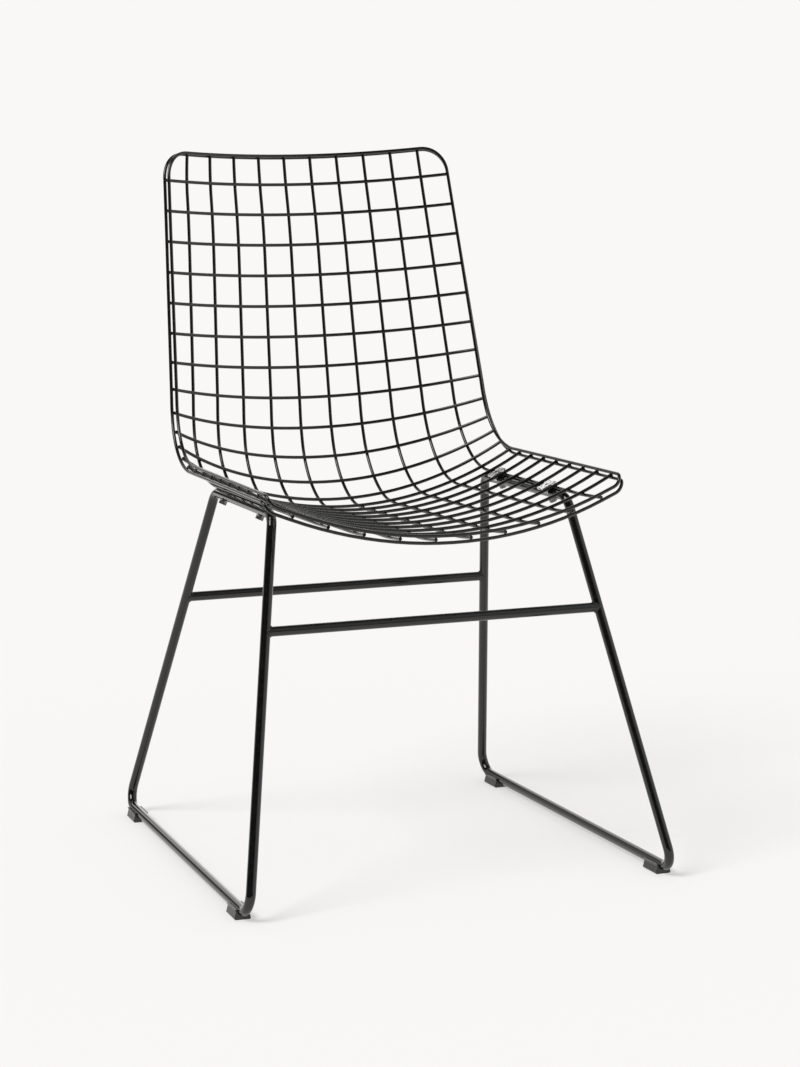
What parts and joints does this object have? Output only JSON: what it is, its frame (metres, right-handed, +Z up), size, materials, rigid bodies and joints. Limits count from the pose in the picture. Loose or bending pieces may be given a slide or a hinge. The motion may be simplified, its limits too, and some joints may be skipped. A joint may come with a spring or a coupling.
{
  "type": "wire mesh dining chair",
  "caption": "Dining chair with a one-piece bent wire mesh seat and back, clamped on a sled base of two splayed bent-rod leg frames with crossbars and clip-on feet.",
  "frame": {"origin": "on the floor under the middle of the chair's outline", "axes": "+Z up, -Y towards the front of the chair, +X towards the right in a front view"},
  "size_m": [0.5506, 0.5872, 0.8439],
  "materials": {
    "cross_wire_black": "glossy black coating",
    "lengthwise_wire_black": "glossy black coating",
    "rim_wire_black": "glossy black coating",
    "frame_black": "glossy black coating",
    "foot_plastic": "satin black moulded plastic",
    "bolt_steel": "dull grey zinc plating",
    "washer_steel": "dull grey zinc plating",
    "clamp_steel": "bright zinc or chrome plating"
  },
  "bodies": {
    "root": {"cross_wire_01": "cross_wire_black", "cross_wire_02": "cross_wire_black", "cross_wire_03": "cross_wire_black", "cross_wire_04": "cross_wire_black", "cross_wire_05": "cross_wire_black", "cross_wire_06": "cross_wire_black", "cross_wire_07": "cross_wire_black", "cross_wire_08": "cross_wire_black", "cross_wire_09": "cross_wire_black", "cross_wire_10": "cross_wire_black", "cross_wire_11": "cross_wire_black", "cross_wire_12": "cross_wire_black", "cross_wire_13": "cross_wire_black", "cross_wire_14": "cross_wire_black", "cross_wire_15": "cross_wire_black", "cross_wire_16": "cross_wire_black", "cross_wire_17": "cross_wire_black", "cross_wire_18": "cross_wire_black", "cross_wire_19": "cross_wire_black", "cross_wire_20": "cross_wire_black", "cross_wire_21": "cross_wire_black", "lengthwise_wire_01": "lengthwise_wire_black", "lengthwise_wire_02": "lengthwise_wire_black", "lengthwise_wire_03": "lengthwise_wire_black", "lengthwise_wire_04": "lengthwise_wire_black", "lengthwise_wire_05": "lengthwise_wire_black", "lengthwise_wire_06": "lengthwise_wire_black", "lengthwise_wire_07": "lengthwise_wire_black", "lengthwise_wire_08": "lengthwise_wire_black", "lengthwise_wire_09": "lengthwise_wire_black", "lengthwise_wire_10": "lengthwise_wire_black", "upper_rim_wire": "rim_wire_black", "lower_rim_wire": "rim_wire_black", "left_side_frame": "frame_black", "right_side_frame": "frame_black", "front_crossbar": "frame_black", "rear_crossbar": "frame_black", "left_front_foot": "foot_plastic", "right_front_foot": "foot_plastic", "left_rear_foot": "foot_plastic", "right_rear_foot": "foot_plastic", "left_front_clamp": "clamp_steel", "right_front_clamp": "clamp_steel", "left_rear_clamp": "clamp_steel", "right_rear_clamp": "clamp_steel", "clamp_bolts": "bolt_steel", "clamp_washers": "washer_steel"}
  },
  "joints": []
}
